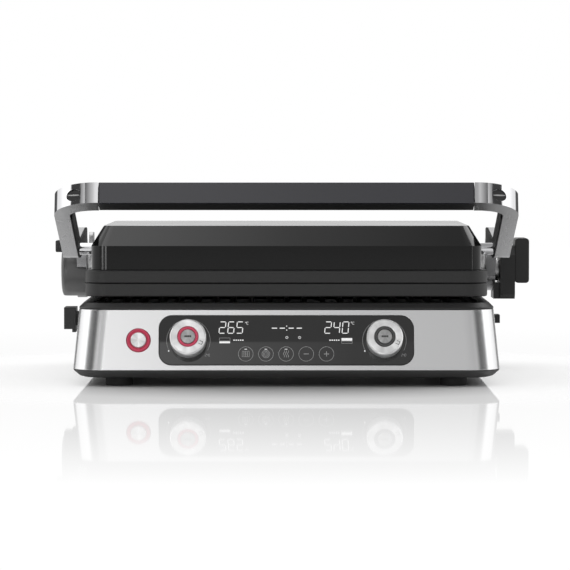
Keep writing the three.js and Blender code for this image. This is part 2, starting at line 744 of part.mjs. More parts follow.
SIDES.forEach(([name, side]) => {
  const ear = roundedShape(PIVOT.y - 11, PIVOT.y + 11, 99.5, PIVOT.z + 8.6, 8);
  piece(`pivot_bracket_${name}`, cut(
    join(
      sidePrism(ear, across(side, 158.5, 161.8), 5),
      block(across(side, 158.5, 165.4), [PIVOT.y - 11, PIVOT.y + 11], [99.5, 103]),
    ),
    rod(PIVOT.radius + GAP, across(side, 150, 170), PIVOT.y, PIVOT.z),
  ), satinMetal);
});

// ---------------------------------------------------------------- origin under the middle
grill.updateMatrixWorld(true);
const box = new THREE.Box3().setFromObject(grill, true);
const centre = box.getCenter(new THREE.Vector3());
grill.position.set(-centre.x, -centre.y, -box.min.z);

export default grill;
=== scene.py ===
"""Contact grill: the visual model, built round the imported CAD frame.

Pieces are modelled in millimetres in the grill's own side: x = 0 is its mid-plane, y = 0 is the
front edge of the handle and runs backwards, z = 0 is the surface that it stands on.
"""
from math import cos, hypot, pi, radians, sin, tan

import bpy
from mathutils import Matrix, Vector


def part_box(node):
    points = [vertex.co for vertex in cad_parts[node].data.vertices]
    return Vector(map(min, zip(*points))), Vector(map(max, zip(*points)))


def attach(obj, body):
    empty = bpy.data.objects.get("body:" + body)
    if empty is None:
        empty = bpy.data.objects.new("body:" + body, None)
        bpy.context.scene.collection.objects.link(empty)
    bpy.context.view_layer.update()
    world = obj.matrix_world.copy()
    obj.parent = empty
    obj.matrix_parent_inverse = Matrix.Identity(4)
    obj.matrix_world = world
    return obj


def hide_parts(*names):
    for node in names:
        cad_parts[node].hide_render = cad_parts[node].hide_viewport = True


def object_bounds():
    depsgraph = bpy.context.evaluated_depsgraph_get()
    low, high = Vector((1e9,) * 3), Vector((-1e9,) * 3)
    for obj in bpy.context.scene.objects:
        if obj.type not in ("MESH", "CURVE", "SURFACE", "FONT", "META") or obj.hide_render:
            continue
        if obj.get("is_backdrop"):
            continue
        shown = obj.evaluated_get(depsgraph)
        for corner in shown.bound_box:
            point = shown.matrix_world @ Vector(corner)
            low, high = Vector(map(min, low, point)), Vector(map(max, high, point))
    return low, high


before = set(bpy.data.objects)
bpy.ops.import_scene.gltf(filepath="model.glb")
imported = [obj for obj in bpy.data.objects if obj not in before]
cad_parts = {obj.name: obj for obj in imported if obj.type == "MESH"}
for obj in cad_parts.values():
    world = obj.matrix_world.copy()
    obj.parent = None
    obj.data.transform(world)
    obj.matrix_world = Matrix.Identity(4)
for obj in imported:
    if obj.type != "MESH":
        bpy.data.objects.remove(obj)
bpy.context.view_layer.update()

# ------------------------------------------------------------------ driving dimensions, in mm
MM = 0.001
SHELL_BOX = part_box("base_shell")
GRILL = Matrix.Translation((
    (SHELL_BOX[0].x + SHELL_BOX[1].x) / 2,
    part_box("handle_grip")[0].y,
    0,
))

CORNER_STEPS = 14
GAP = 0.3
BASE = dict(bottom=14.3, top=65.2, wide=183.5, narrow=179, front=3, back=320, corner=28, wall=2.5)
STEEL_END = 289.7
PAN = dict(bottom=7.4, top=14, chamfer=10.4)
FRAME = dict(bottom=65.5, shoulder=66.8, top=71, slope=4.3)
PLATE = dict(half=165, front=37, back=263, corner=10)
SKIRT = dict(half=173.5, front=25, back=275, corner=20)
SKIRT_LEVELS = dict(bottom=76, seam=87.5, top=98.8)
COVER = dict(half=168.5, front=32, back=268, corner=15)
COVER_LEVELS = dict(bottom=99.1, wall=119.5, top=136.5)
COVER_TOP = dict(half=158, front=50, back=252, corner=9)
PANEL = dict(tilt=radians(16.5), z=39.6, half=108.6, height=43.2, corner=11)
HANDLE = dict(tilt=radians(19), z=157.2, height=18.3, depth=21.5, half=160)
BAIL = dict(outer=199.7, inner=186.3, corner=37, cap_end=46)
PIVOT = dict(y=144.8, z=113.8, radius=5.25)
HINGE = dict(y=300, z=89, pin=5, hub=19)
HUB_OUTER = 195.3
NECK_START = 262
POWER = dict(x=-126.4, ring=10, button=7.1)
KNOB = dict(x=83.7, y=-0.4, radius=15.5, length=16, ring=8.6, button=6.2)
SIDES = (("left", -1), ("right", 1))

PANEL_Y = BASE["front"] + (PANEL["z"] - BASE["bottom"]) * tan(PANEL["tilt"])
ON_PANEL = (
    GRILL
    @ Matrix.Translation((0, PANEL_Y * MM, PANEL["z"] * MM))
    @ Matrix.Rotation(radians(90) - PANEL["tilt"], 4, "X")
)
ON_BAIL = (
    GRILL
    @ Matrix.Translation((0, 0, HANDLE["z"] * MM))
    @ Matrix.Rotation(-HANDLE["tilt"], 4, "X")
)


# ------------------------------------------------------------------ mesh code
def new_piece(name, points, faces, place=GRILL):
    """An object whose mesh is in metres, from points in millimetres."""
    mesh = bpy.data.meshes.new(name)
    mesh.from_pydata([Vector(p) * MM for p in points], [], faces)
    mesh.validate()
    mesh.update()
    piece = bpy.data.objects.new(name, mesh)
    bpy.context.scene.collection.objects.link(piece)
    piece.matrix_world = place
    return piece


def skin(name, loops, place=GRILL):
    """A closed body through loops of equal length, with a flat face at each end."""
    size = len(loops[0])
    points = [p for loop in loops for p in loop]
    faces = [list(range(size))[::-1]]
    for level in range(len(loops) - 1):
        low = level * size
        for i in range(size):
            a, b = low + i, low + (i + 1) % size
            faces.append([a, b, b + size, a + size])
    faces.append([len(points) - size + i for i in range(size)])
    return new_piece(name, points, faces, place)


def arc(cx, cy, radius, start, end, steps=CORNER_STEPS, squash=1.0):
    """Points on an arc, angles in degrees."""
    angles = [radians(start + (end - start) * i / steps) for i in range(steps + 1)]
    return [(cx + radius * cos(a), cy + radius * squash * sin(a)) for a in angles]


def rounded(x0, x1, y0, y1, r, steps=CORNER_STEPS):
    return (
        arc(x1 - r, y1 - r, r, 0, 90, steps)
        + arc(x0 + r, y1 - r, r, 90, 180, steps)
        + arc(x0 + r, y0 + r, r, 180, 270, steps)
        + arc(x1 - r, y0 + r, r, 270, 360, steps)
    )


def plan(section, z, inset=0.0, steps=CORNER_STEPS):
    """A rounded rectangle in plan at height z, moved in by inset."""
    half, r = section["half"] - inset, max(section["corner"] - inset, 0.4)
    outline = rounded(-half, half, section["front"] + inset, section["back"] - inset, r, steps)
    return [(x, y, z) for x, y in outline]


def loft(name, levels):
    """levels: (section, z, inset), from the bottom up."""
    return skin(name, [plan(*level) for level in levels])


def flat_prism(name, outline, z0, z1, place=GRILL):
    return skin(name, [[(x, y, z) for x, y in outline] for z in (z0, z1)], place)


def side_prism(name, outline, x0, x1):
    """An outline in y and z, anticlockwise seen from +x, between two x planes."""
    return skin(name, [[(x, y, z) for y, z in outline] for x in sorted((x0, x1))])


def block(name, xs, ys, zs, place=GRILL):
    (x0, x1), (y0, y1), (z0, z1) = sorted(xs), sorted(ys), sorted(zs)
    outline = [(x1, y1), (x0, y1), (x0, y0), (x1, y0)]
    return flat_prism(name, outline, z0, z1, place)


def turned(name, profile, place=GRILL, at=(0, 0, 0), sides=64, closed=False):
    """A body turned round local z, from (radius, height) points in rising order of the outside."""
    points, faces, rings = [], [], []
    for radius, height in profile:
        if radius == 0:
            rings.append([len(points)])
            points.append((at[0], at[1], at[2] + height))
            continue
        rings.append(list(range(len(points), len(points) + sides)))
        for i in range(sides):
            angle = 2 * pi * i / sides
            points.append((at[0] + radius * cos(angle), at[1] + radius * sin(angle), at[2] + height))
    pairs = list(zip(rings, rings[1:]))
    if closed:
        pairs.append((rings[-1], rings[0]))
    for low, high in pairs:
        for i in range(sides):
            j = (i + 1) % sides
            if len(low) == 1:
                faces.append([low[0], high[j], high[i]])
            elif len(high) == 1:
                faces.append([low[i], low[j], high[0]])
            else:
                faces.append([low[i], low[j], high[j], high[i]])
    return new_piece(name, points, faces, place)


def rod(name, radius, x0, x1, y, z, sides=48, chamfer=0.0):
    """A rod along x."""
    x0, x1 = sorted((x0, x1))
    levels = [(x0, radius), (x1, radius)]
    if chamfer:
        levels = [
            (x0, radius - chamfer), (x0 + chamfer, radius), (x1 - chamfer, radius), (x1, radius - chamfer),
        ]
    loops = []
    for x, r in levels:
        angles = [2 * pi * i / sides for i in range(sides)]
        loops.append([(x, y + r * cos(a), z + r * sin(a)) for a in angles])
    return skin(name, loops)


def pivot_bore(side, x0, x1, gap=GAP):
    """The hole of a floating pivot shaft."""
    return rod("pivot_bore", PIVOT["radius"] + gap, side * x0, side * x1, PIVOT["y"], PIVOT["z"])


def pin_bore(side, x0, x1):
    """The hole of a hinge pin."""
    return rod("pin_bore", HINGE["pin"] + GAP, side * x0, side * x1, HINGE["y"], HINGE["z"])


def apply_modifiers(piece):
    graph = bpy.context.evaluated_depsgraph_get()
    mesh = bpy.data.meshes.new_from_object(piece.evaluated_get(graph))
    old = piece.data
    piece.modifiers.clear()
    piece.data = mesh
    mesh.name = old.name
    bpy.data.meshes.remove(old)


def combine(piece, others, operation):
    bpy.context.view_layer.update()
    for other in others:
        step = piece.modifiers.new("step", "BOOLEAN")
        step.operation, step.solver, step.object = operation, "EXACT", other
        apply_modifiers(piece)
        bpy.data.objects.remove(other)
    return piece


def cut(piece, *others):
    return combine(piece, others, "DIFFERENCE")


def join(piece, *others):
    return combine(piece, others, "UNION")


def soften(piece, width=0.5, segments=3, angle=30):
    """Rounds the edges that are sharper than angle, and shades the faces smoothly."""
    bevel = piece.modifiers.new("bevel", "BEVEL")
    bevel.width, bevel.segments = width * MM, segments
    bevel.limit_method, bevel.angle_limit = "ANGLE", radians(angle)
    bevel.use_clamp_overlap = True
    apply_modifiers(piece)
    return shade(piece)


def shade(piece, angle=40):
    for face in piece.data.polygons:
        face.use_smooth = True
    piece.data.set_sharp_from_angle(angle=radians(angle))
    normals = piece.modifiers.new("normals", "WEIGHTED_NORMAL")
    normals.keep_sharp = True
    apply_modifiers(piece)
    return piece


# ------------------------------------------------------------------ materials
class Paint:
    """A node material: a Principled shader and short ways to drive its sockets."""

    def __init__(self, name, color, roughness, metallic=0.0):
        self.material = bpy.data.materials.new(name)
        self.material.use_nodes = True
        self.tree = self.material.node_tree
        self.shader = self.tree.nodes["Principled BSDF"]
        self.set("Base Color", (*color, 1))
        self.set("Roughness", roughness)
        self.set("Metallic", metallic)

    def set(self, socket, value):
        self.shader.inputs[socket].default_value = value

    def node(self, kind, **settings):
        node = self.tree.nodes.new(kind)
        for key, value in settings.items():
            setattr(node, key, value)
        return node

    def link(self, source, target):
        self.tree.links.new(source, target)

    def noise(self, stretch, scale, detail=3.0):
        """Noise in the piece's own space, stretched along each axis."""
        place = self.node("ShaderNodeTexCoord")
        mapping = self.node("ShaderNodeMapping")
        mapping.inputs["Scale"].default_value = stretch
        noise = self.node("ShaderNodeTexNoise")
        noise.inputs["Scale"].default_value = scale
        noise.inputs["Detail"].default_value = detail
        self.link(place.outputs["Object"], mapping.inputs["Vector"])
        self.link(mapping.outputs["Vector"], noise.inputs["Vector"])
        return noise.outputs["Fac"]

    def spread(self, source, low, high):
        """Maps a 0.3 to 0.7 signal to the range low to high."""
        span = self.node("ShaderNodeMapRange")
        span.inputs["From Min"].default_value = 0.3
        span.inputs["From Max"].default_value = 0.7
        span.inputs["To Min"].default_value = low
        span.inputs["To Max"].default_value = high
        self.link(source, span.inputs["Value"])
        return span.outputs["Result"]

    def rough(self, source, low, high):
        self.link(self.spread(source, low, high), self.shader.inputs["Roughness"])
        return self

    def tone(self, source, dark, light):
        """Base colour between two tones."""
        mix = self.node("ShaderNodeMix", data_type="RGBA")
        mix.inputs["A"].default_value = (*dark, 1)
        mix.inputs["B"].default_value = (*light, 1)
        self.link(self.spread(source, 0, 1), mix.inputs["Factor"])
        self.link(mix.outputs["Result"], self.shader.inputs["Base Color"])
        return self

    def bump(self, source, strength, distance):
        bump = self.node("ShaderNodeBump")
        bump.inputs["Strength"].default_value = strength
        bump.inputs["Distance"].default_value = distance
        self.link(source, bump.inputs["Height"])
        self.link(bump.outputs["Normal"], self.shader.inputs["Normal"])
        return self

    def glow(self, color, strength):
        self.set("Emission Color", (*color, 1))
        self.set("Emission Strength", strength)
        return self


def grey(value):
    return (value, value, value)


def set_stops(ramp, stops):
    """Gives a colour ramp its greys, from (place, brightness) stops."""
    elements = ramp.color_ramp.elements
    while len(elements) < len(stops):
        elements.new(0.5)
    for element, (place, value) in zip(elements, stops):
        element.position, element.color = place, (*grey(value), 1)


def brushed(name, color, roughness, stretch, anisotropy=0.0, turn=0.25, bump=0.01, contrast=0.006):
    """Brushed metal: fine lines along the axis whose stretch is small."""
    paint = Paint(name, color, roughness, 1.0)
    lines = paint.noise(stretch, 1.0, 4.0)
    paint.rough(lines, roughness - 0.01, roughness + 0.015)
    paint.tone(lines, [c * (1 - contrast) for c in color], [min(1, c * (1 + contrast)) for c in color])
    if bump:
        paint.bump(lines, bump, 0.00003)
    paint.set("Anisotropic", anisotropy)
    paint.set("Anisotropic Rotation", turn)
    return paint.material


def spun(name, color, roughness, contrast=0.22):
    """Metal turned on a lathe: rings round the piece's own z axis, and soft lighter and darker sectors round
    it, a painted reflection of strip lights.
    """
    paint = Paint(name, color, roughness, 1.0)
    paint.rough(paint.noise((900, 900, 900), 1.0, 2.0), roughness - 0.02, roughness + 0.03)
    flat = paint.node("ShaderNodeVectorMath", operation="MULTIPLY")
    flat.inputs[1].default_value = (1, 1, 0)
    paint.link(paint.node("ShaderNodeTexCoord").outputs["Object"], flat.inputs[0])
    outward = paint.node("ShaderNodeVectorMath", operation="NORMALIZE")
    paint.link(flat.outputs[0], outward.inputs[0])
    # Lighter and darker sectors by angle round the axis: a painted reflection of strip lights, put into the
    # base colour.
    sectors = paint.node("ShaderNodeTexNoise")
    sectors.inputs["Scale"].default_value = 1.7
    sectors.inputs["Detail"].default_value = 1.0
    paint.link(outward.outputs[0], sectors.inputs["Vector"])
    paint.tone(sectors.outputs["Fac"], [c * (1 - contrast) for c in color], [min(1, c * 1.1) for c in color])
    tangent = paint.node("ShaderNodeTangent", direction_type="RADIAL", axis="Z")
    paint.link(tangent.outputs[0], paint.shader.inputs["Tangent"])
    paint.set("Anisotropic", 0.85)
    paint.set("Anisotropic Rotation", 0.25)
    return paint.material


def moulded(name, color, roughness, bump=0.1, grain=2600, specular=0.5):
    """Moulded plastic with a fine spark-eroded grain."""
    paint = Paint(name, color, roughness)
    fine = paint.noise((1, 1, 1), grain, 2.0)
    broad = paint.noise((1, 1, 1), 14, 2.0)
    paint.rough(broad, roughness * 0.93, roughness * 1.09)
    paint.tone(broad, [c * 0.92 for c in color], [c * 1.08 for c in color])
    paint.bump(fine, bump, 0.00003)
    paint.set("Specular IOR Level", specular)
    return paint.material


def polished():
    paint = Paint("polished_metal", (0.66, 0.66, 0.67), 0.06, 1.0)
    paint.rough(paint.noise((1, 1, 1), 60, 3.0), 0.03, 0.09)
    return paint.material


def lit(name, color, glow, strength):
    paint = Paint(name, color, 0.35)
    paint.tone(paint.noise((1, 1, 1), 90, 2.0), [c * 0.9 for c in color], color)
    paint.glow(glow, strength)
    return paint.material


def cast_coating():
    paint = Paint("cast_plate", grey(0.008), 0.42, 0.0)
    specks = paint.noise((1, 1, 1), 1400, 2.0)
    paint.tone(specks, grey(0.005), grey(0.016))
    paint.rough(specks, 0.58, 0.7)
    paint.bump(specks, 0.25, 0.00006)
    paint.set("Specular IOR Level", 0.05)
    return paint.material


STEEL = brushed("brushed_steel", (0.69, 0.69, 0.695), 0.25, (3, 900, 1400), 0.85)
ARM_METAL = brushed("arm_satin", (0.3, 0.3, 0.305), 0.28, (900, 14, 900), bump=0.0)
SHEET = brushed("tinned_sheet", (0.55, 0.55, 0.55), 0.35, (40, 700, 700))
HINGE_METAL = brushed("hinge_metal", (0.5, 0.5, 0.5), 0.3, (300, 300, 40), bump=0.0)
KNOB_FACE = spun("knob_face", (0.86, 0.86, 0.86), 0.3)
KEY_FACE = spun("key_face", (0.42, 0.42, 0.42), 0.32)
KNOB_SIDE = brushed("knob_side", (0.92, 0.92, 0.92), 0.45, (300, 300, 30), bump=0.0)
POLISHED = polished()
BLACK = moulded("black_plastic", grey(0.008), 0.42)
COVER_BLACK = moulded("cover_black", grey(0.004), 0.11)
COVER_TOP_BLACK = moulded("cover_top_black", grey(0.004), 0.22)
COVER_WALL_BLACK = moulded("cover_wall_black", grey(0.004), 0.11, specular=0.27)
ARM_INNER_BLACK = moulded("arm_inner_black", grey(0.003), 0.6, specular=0.12)
SKIRT_BLACK = moulded("skirt_black", grey(0.011), 0.5)
PAN_BLACK = moulded("pan_black", grey(0.034), 0.5)
HINGE_BLACK = moulded("hinge_black", grey(0.006), 0.4)
BARREL_GREY = moulded("barrel_grey", grey(0.05), 0.34, specular=0.9)
HANDLE_BLUE = moulded("handle_dark", (0.011, 0.011, 0.017), 0.24, bump=0.03, specular=0.9)
GLASS = moulded("black_glass", grey(0.004), 0.015, bump=0.0, specular=0.7)
RUBBER = moulded("rubber", grey(0.008), 0.75, bump=0.3, grain=1800)
BOARD = moulded("circuit_board", (0.02, 0.12, 0.06), 0.5)
ELEMENT = moulded("element_steel", (0.16, 0.14, 0.13), 0.45)
RED = lit("lit_red", (0.5, 0.04, 0.09), (1.0, 0.10, 0.20), 0.11)
DARK_RING = moulded("dark_ring", grey(0.06), 0.4)
CAST = cast_coating()
# Dark ink for the mark on each knob's key, and also the painted shadow round each knob's notch.
INK_AND_PAINTED_SHADOW = moulded("dark_ink_and_painted_shadow", grey(0.02), 0.5)
PRINT_WHITE = lit("display_white", grey(0.6), grey(1.0), 0.5)
# The grey print glows faintly too: a painted glow, as the print is no lamp.
PRINT_GREY = lit("print_grey", grey(0.3), grey(1.0), 0.06)


def dress(piece, materials, body, *nodes, slot=None):
    """Gives a piece its material and its body, and hides the CAD nodes that it stands for."""
    piece.data.materials.clear()
    for material in materials if isinstance(materials, (list, tuple)) else [materials]:
        piece.data.materials.append(material)
    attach(piece, body)
    if nodes:
        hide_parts(*nodes)
    return piece


def paint_faces(piece, index, test):
    """Gives the faces that pass test(centre in mm, normal) the material of that index."""
    for face in piece.data.polygons:
        if test(face.center / MM, face.normal):
            face.material_index = index


def across(side, inner, outer):
    return tuple(sorted((side * inner, side * outer)))


def sided(outline, side):
    """An outline drawn for the right side, mirrored for the left."""
    return outline if side > 0 else [(-x, y) for x, y in reversed(outline)]


def curve(start, control, end, steps=14):
    """Points on a quadratic curve, without its first."""
    points = []
    for i in range(1, steps + 1):
        t = i / steps
        weights = ((1 - t) ** 2, 2 * t * (1 - t), t * t)
        points.append(tuple(
            weights[0] * a + weights[1] * b + weights[2] * c for a, b, c in zip(start, control, end)
        ))
    return points


# ------------------------------------------------------------------ base housing
def base_section(z):
    rise = (z - BASE["bottom"]) / (BASE["top"] - BASE["bottom"])
    return dict(
        half=BASE["wide"] + (BASE["narrow"] - BASE["wide"]) * rise,
        front=BASE["front"] + (z - BASE["bottom"]) * tan(PANEL["tilt"]),
        back=BASE["back"],
        corner=BASE["corner"],
    )


def base_wall(name):
    low, high = BASE["bottom"], BASE["top"]
    wall = BASE["wall"]
    outer = loft(name, [(base_section(low), low, 0), (base_section(high), high, 0)])
    inner = loft("hollow", [
        (base_section(low - 1), low - 1, wall),
        (base_section(high + 1), high + 1, wall),
    ])
    return cut(outer, inner)


def panel_prism(name, outline, z0, z1):
    return flat_prism(name, outline, z0, z1, ON_PANEL)


def panel_outline(grow=0.0):
    half, high = PANEL["half"] + grow, PANEL["height"] / 2 + grow
    return rounded(-half, half, -high, high, PANEL["corner"] + grow)


def disc(cx, cy, radius, steps=16):
    return rounded(cx - radius, cx + radius, cy - radius, cy + radius, radius, steps)


shell = cut(
    base_wall("base_shell_steel"),
    block("rear", (-200, 200), (STEEL_END, 340), (0, 90)),
    panel_prism("glass_hole", panel_outline(GAP), -8, 8),
    panel_prism("power_hole", disc(POWER["x"], 0, POWER["ring"] + GAP), -8, 8),
    block("lever_slot", (-190, -160), (89.6, 110.4), (47.6, 60.4)),
    block("tray_slot", (150, 190), (221.7, 277.3), (18.7, 44.3)),
)
dress(soften(shell, 0.45), STEEL, "base", "base_shell", slot="brushed_steel")

INLET = dict(x=120, z=32, radius=9)


def along_y(name, radius, x, z, y0, y1):
    stand = Matrix.Translation((x * MM, 0, z * MM)) @ Matrix.Rotation(radians(-90), 4, "X")
    outline = disc(0, 0, radius)
    return flat_prism(name, outline, y0, y1, GRILL @ stand)


rear = cut(
    base_wall("rear_cover_plastic"),
    block("front", (-200, 200), (-20, STEEL_END + GAP), (0, 90)),
    along_y("inlet_hole", INLET["radius"] - 2 + GAP, INLET["x"], INLET["z"], 310, 330),
    *[
        flat_prism("vent", rounded(-104 + 12 * i, -100 + 12 * i, 24, 50, 1.95, 5), 310, 330, (
            GRILL @ Matrix(((1, 0, 0, 0), (0, 0, 1, 0), (0, 1, 0, 0), (0, 0, 0, 1)))
        ))
        for i in range(10)
    ],
)
dress(soften(rear, 0.4), BLACK, "base", "rear_cover", slot="black_plastic")

gland = cut(
    join(
        along_y("power_inlet_collar", INLET["radius"], INLET["x"], INLET["z"], 320.3, 325),
        along_y("neck", INLET["radius"] - 2, INLET["x"], INLET["z"], 312, 321),
    ),
    along_y("bore", 4, INLET["x"], INLET["z"], 310, 328),
)
dress(soften(gland, 0.6), BLACK, "base", "power_inlet_gland", slot="black_plastic")

pan_section = base_section(BASE["bottom"])
pan = cut(
    loft("base_pan_moulding", [
        (pan_section, PAN["bottom"], PAN["chamfer"]),
        (pan_section, PAN["bottom"] + 1.2, PAN["chamfer"] - 4.6),
        (pan_section, PAN["top"] - 1.6, 1.2),
        (pan_section, PAN["top"], 0),
    ]),
    loft("pan_hollow", [(pan_section, 9.6, 10.6), (pan_section, 15, 2.2)]),
)
dress(soften(pan, 0.4), PAN_BLACK, "base", "base_pan", slot="black_plastic")

for end, y in (("front", 30), ("rear", 290)):
    for name, side in SIDES:
        foot = turned(f"rubber_foot_{end}_{name}", [
            (0, 0.7), (5.5, 0.7), (6.2, 0), (10.6, 0), (11.7, 0.7), (12, 2), (11.6, 5.4),
            (11.4, 7.1), (0, 7.1),
        ], at=(side * 143.8, y, 0))
        dress(shade(foot, 35), RUBBER, "base", f"foot_{end}_{name}", slot="rubber")

rim_section = base_section(BASE["top"])
rim = cut(
    loft("base_rim", [
        (rim_section, FRAME["bottom"], 0),
        (rim_section, FRAME["shoulder"], 0),
        (rim_section, FRAME["top"], FRAME["slope"]),
    ]),
    loft("rim_hole", [(PLATE, 60, -1), (PLATE, 80, -1)]),
    *[block("notch", across(side, 149.7, 190), (279.7, 321), (60, 75)) for _, side in SIDES],
)
dress(soften(rim, 0.5), BLACK, "base", "base_top_frame", slot="black_plastic")

# ------------------------------------------------------------------ control panel
glass = cut(
    panel_prism("control_panel_glass", panel_outline(), -2.6, 0.4),
    *[panel_prism("shaft_hole", disc(side * KNOB["x"], KNOB["y"], 4.6), -5, 5) for _, side in SIDES],
)
dress(soften(glass, 0.25), GLASS, "base", "control_glass", slot="black_glass")

PRINT = (0.42, 0.5)  # height of the printed and lit marks over the glass, as panel heights


class Marks:
    """Thin flat shapes gathered into one piece: print and lamps on the control glass, and marks on the
    knobs, one of them a painted shadow.
    """

    def __init__(self):
        self.loops = []

    def shape(self, outline):
        self.loops.append(outline)
        return self

    def bar(self, x0, x1, t0, t1):
        return self.shape([(x0, t0), (x1, t0), (x1, t1), (x0, t1)])

    def stroke(self, points, width):
        """A line of even width through points."""
        for (x0, y0), (x1, y1) in zip(points, points[1:]):
            length = hypot(x1 - x0, y1 - y0)
            nx, ny = (y1 - y0) / length * width / 2, (x0 - x1) / length * width / 2
            self.shape([(x0 + nx, y0 + ny), (x1 + nx, y1 + ny), (x1 - nx, y1 - ny), (x0 - nx, y0 - ny)])
        return self

    def ring(self, cx, cy, radius, width, start=0, end=360, steps=48):
        return self.stroke(arc(cx, cy, radius, start, end, steps), width)

    def segments(self, x, t, wide, high, lit_ones, width):
        """One seven-segment figure with its lower left corner at (x, t)."""
        lean, gap, mid = 0.09 * high, width * 0.62, high / 2
        ends = dict(
            a=((gap, high), (wide - gap, high)),
            d=((gap, 0), (wide - gap, 0)),
            g=((gap, mid), (wide - gap, mid)),
            b=((wide, mid + gap), (wide, high - gap)), c=((wide, gap), (wide, mid - gap)),
            e=((0, gap), (0, mid - gap)), f=((0, mid + gap), (0, high - gap)),
        )
        for key in lit_ones:
            self.stroke([(x + px + lean * py / high, t + py) for px, py in ends[key]], width)
        return self

    def number(self, text, x0, x1, t0, t1, width):
        lit_by = {"0": "abcdef", "2": "abged", "4": "fgbc", "5": "afgcd", "6": "afgedc"}
        high = t1 - t0 - width
        pitch = (x1 - x0 - 0.09 * high) / (len(text) - 0.12 * (len(text) - 1) / len(text))
        wide = pitch * 0.72
        pitch = (x1 - x0 - 0.09 * high - wide - width) / (len(text) - 1)
        for i, figure in enumerate(text):
            self.segments(x0 + width / 2 + i * pitch, t0 + width / 2, wide, high, lit_by[figure], width)
        return self

    def make(self, name, material, levels=PRINT):
        points, faces = [], []
        for outline in self.loops:
            start, size = len(points), len(outline)
            points += [(x, y, levels[0]) for x, y in outline] + [(x, y, levels[1]) for x, y in outline]
            faces.append([start + i for i in range(size)][::-1])
            faces.append([start + size + i for i in range(size)])
            for i in range(size):
                j = (i + 1) % size
                faces.append([start + i, start + j, start + size + j, start + size + i])
        return dress(new_piece(name, points, faces, ON_PANEL), material, "base")


display = Marks()
display.number("265", -58.0, -36.5, 5.7, 16.4, 0.72)
display.number("240", 32.3, 53.9, 5.7, 16.4, 0.72)
for x in (-35.4, 55.0):  # degrees
    display.ring(x + 0.6, 15.7, 0.45, 0.2, steps=14)
    display.ring(x + 2.3, 14.9, 1.05, 0.24, 50, 310, 14)
for x0, x1 in ((-12.5, -8.0), (-5.7, -1.3), (1.9, 6.3), (8.8, 13.2)):
    display.bar(x0, x1, 10.1, 10.9)
for t in (12.3, 8.8):
    display.bar(-0.1, 0.7, t - 0.4, t + 0.4)
for x0, x1 in ((-3.1, 3.9), (8.5, 14.0)):
    middle = (x0 + x1) / 2
    display.ring(middle, 2.3, 1.0, 0.3, steps=20)
    display.bar(middle - 0.15, middle + 0.15, 2.3, 3.0)
for x0, x1 in ((-45.6, -36.2), (36.4, 45.7)):
    step = (x1 - x0) / 5
    for i in range(5):
        display.bar(x0 + i * step + 0.3, x0 + (i + 1) * step - 0.4, -0.55, 0.45)
icons = Marks()
for x, upper_filled in ((-57.2, False), (47.1, True)):
    upper, lower = (-0.7, 2.0), (-2.9, -0.9)
    filled, hollow = (upper, lower) if upper_filled else (lower, upper)
    display.bar(x, x + 9.1, filled[0] + 0.2, filled[1] - 0.2)
    t0, t1 = hollow[0] + 0.1, hollow[1] - 0.1
    icons.stroke([(x, t0), (x, t1), (x + 9.1, t1), (x + 9.1, t0), (x, t0)], 0.3)
display.make("display_figures", PRINT_WHITE)
TOUCH = [(-34.7, "grid"), (-17.5, "coil"), (-0.3, "waves"), (16.9, "minus"), (34.2, "plus")]
for x, kind in TOUCH:
    t = -12.1
    icons.ring(x, t, 6.3, 0.34, steps=56)
    if kind == "grid":
        icons.stroke([
            (x - 3, t - 2.4), (x - 3, t + 2.4), (x + 3, t + 2.4), (x + 3, t - 2.4), (x - 3, t - 2.4),
        ], 0.35)
        for i in range(-1, 2):
            icons.bar(x + i * 1.5 - 0.25, x + i * 1.5 + 0.25, t - 2, t + 2)
    elif kind == "coil":
        for radius in (1.1, 2.2, 3.3):
            icons.ring(x, t, radius, 0.4, steps=28)
    elif kind == "waves":
        for dx in (-1.7, 0, 1.7):
            icons.stroke([(x + dx + 0.5 * sin(i * 0.9), t - 3 + i * 0.6) for i in range(11)], 0.45)
    else:
        icons.bar(x - 2.2, x + 2.2, t - 0.3, t + 0.3)
        if kind == "plus":
            icons.bar(x - 0.3, x + 0.3, t - 2.2, t - 0.3).bar(x - 0.3, x + 0.3, t + 0.3, t + 2.2)
for _, side in SIDES:  # the scale round each knob
    x, t = side * KNOB["x"], KNOB["y"]
    icons.ring(x, t, 18.6, 0.28, 208, -28, 72)
    icons.number("240", x + 14.2, x + 18.6, t - 13.9, t - 11.5, 0.3)
icons.make("panel_print", PRINT_GREY)

lamps = Marks()
for x in (-34.7, -17.5, -0.3):
    lamps.bar(x - 1.1, x + 1.1, -8.2, -7.7)
for _, side in SIDES:
    lamps.shape(disc(side * KNOB["x"] - 16.8, -9.5, 0.6, 5))
lamps.make("panel_lamps", PRINT_WHITE)

ring = turned("power_light_ring", [
    (POWER["button"], -2.4), (POWER["ring"], -2.4), (POWER["ring"], 0.3), (9.8, 0.8), (9.3, 1.1),
    (8.6, 1.1), (8.3, 0.7), (8.1, 0.0), (7.8, 0.0), (7.5, 0.5), (POWER["button"], 0.5),
], ON_PANEL, (POWER["x"], 0, 0), closed=True)
dress(shade(ring, 25), RED, "base", "power_ring", slot="lit_red")

